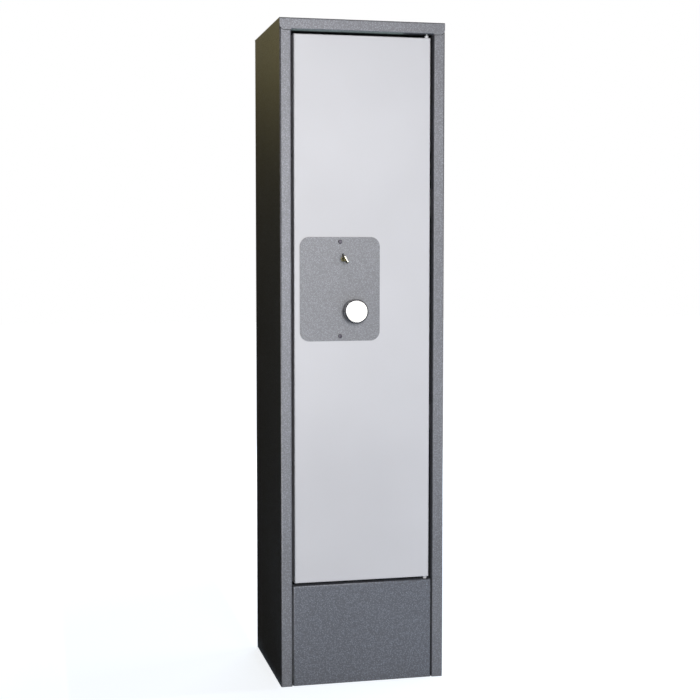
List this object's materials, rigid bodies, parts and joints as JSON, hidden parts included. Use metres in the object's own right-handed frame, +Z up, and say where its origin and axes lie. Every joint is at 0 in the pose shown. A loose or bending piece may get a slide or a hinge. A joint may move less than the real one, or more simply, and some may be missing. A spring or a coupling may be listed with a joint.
{
  "type": "gun safe",
  "caption": "Tall narrow sheet-steel gun safe with one flush hinged door, keyed lever lock, turning knob, sliding boltwork and a barrel rack inside.",
  "frame": {"origin": "centre of the cabinet's footprint, on the floor", "axes": "+X to the right seen from the front, +Y from the front to the back, +Z up"},
  "size_m": [0.355, 0.333, 1.4],
  "materials": {
    "cabinet_paint": "hammertone enamel, grey",
    "door_paint": "smooth semi-gloss enamel, light grey",
    "plate_paint": "hammertone enamel, grey",
    "bare_steel": "mild steel, oiled",
    "zinc_plated": "bright zinc plate",
    "bumper_rubber": "moulded, matt",
    "mat_rubber": "sheet rubber, matt",
    "rack_felt": "needle felt",
    "screw_dark": "blackened",
    "bush_brass": "turned",
    "lever_brass": "stamped",
    "spring_steel": "blued spring strip",
    "lock_case_zinc": "pressed sheet, zinc plate",
    "lock_bolt_steel": "milled",
    "knob_chrome": "satin chrome plate",
    "key_nickel": "nickel plate, worn"
  },
  "bodies": {
    "cabinet": {"wrap_shell": "cabinet_paint", "roof_pan": "cabinet_paint", "floor_pan": "cabinet_paint", "plinth_panel": "cabinet_paint", "plinth_spacers": "bare_steel", "top_pivot_plate": "bare_steel", "sill_pivot_plate": "bare_steel", "door_stop_brackets": "cabinet_paint", "stop_bumpers": "bumper_rubber", "barrel_rack": "cabinet_paint", "rack_rivets": "zinc_plated", "rack_felt": "rack_felt", "floor_mat": "mat_rubber"},
    "door": {"door_panel": "door_paint", "door_stiffener": "bare_steel", "pivot_blocks": "bare_steel", "top_pivot_pin": "zinc_plated", "bottom_pivot_pin": "zinc_plated", "pivot_collars": "door_paint", "hinge_side_dogs": "bare_steel", "lock_plate": "plate_paint", "plate_screws": "screw_dark", "spindle_bush": "bush_brass", "cover_posts": "zinc_plated", "door_back_cover": "plate_paint", "cover_screws": "zinc_plated", "carrier_posts": "zinc_plated", "carrier_screws": "zinc_plated", "rod_guides": "zinc_plated", "lock_pillars": "zinc_plated", "lock_case": "lock_case_zinc", "lock_cap": "lock_case_zinc", "lock_screws": "zinc_plated", "lever_pack": "lever_brass", "lever_post": "zinc_plated", "lever_springs": "spring_steel"},
    "knob": {"knob": "knob_chrome", "knob_spindle": "zinc_plated", "knob_set_screw": "bare_steel", "cam_disc": "bare_steel", "cam_screw": "zinc_plated", "drive_pins": "zinc_plated"},
    "bolt_carrier": {"bolt_carrier": "zinc_plated", "side_bolts": "zinc_plated"},
    "top_rod": {"top_rod": "zinc_plated"},
    "bottom_rod": {"bottom_rod": "zinc_plated"},
    "lock_bolt": {"lock_bolt": "lock_bolt_steel"},
    "key": {"key": "key_nickel"}
  },
  "joints": [
    {"name": "door_swing", "type": "hinge", "parent": "cabinet", "child": "door", "pos_m": [0.14, -0.1385, 0.22], "axis": [0, 0, 1], "range_deg": [0, 110]},
    {"name": "knob_turn", "type": "hinge", "parent": "door", "child": "knob", "pos_m": [-0.02, -0.1385, 0.79457], "axis": [0, -1, 0], "range_deg": [0, 90]},
    {"name": "key_turn", "type": "hinge", "parent": "door", "child": "key", "pos_m": [-0.044, -0.1385, 0.90357], "axis": [0, -1, 0], "range_deg": [-30, 330]},
    {"name": "carrier_slide", "type": "slide", "parent": "door", "child": "bolt_carrier", "axis": [-1, 0, 0], "range_m": [0, 0.02]},
    {"name": "top_rod_slide", "type": "slide", "parent": "door", "child": "top_rod", "axis": [0, 0, 1], "range_m": [0, 0.02]},
    {"name": "bottom_rod_slide", "type": "slide", "parent": "door", "child": "bottom_rod", "axis": [0, 0, -1], "range_m": [0, 0.02]},
    {"name": "lock_bolt_slide", "type": "slide", "parent": "door", "child": "lock_bolt", "axis": [1, 0, 0], "range_m": [-0.0011, 0.012]}
  ],
  "couplings": [
    {"joint": "carrier_slide", "follows": "knob_turn", "m_per_rad": 0.01273},
    {"joint": "top_rod_slide", "follows": "knob_turn", "m_per_rad": 0.01273},
    {"joint": "bottom_rod_slide", "follows": "knob_turn", "m_per_rad": 0.01273},
    {"joint": "lock_bolt_slide", "follows": "key_turn", "m_per_rad": 0.002083}
  ]
}
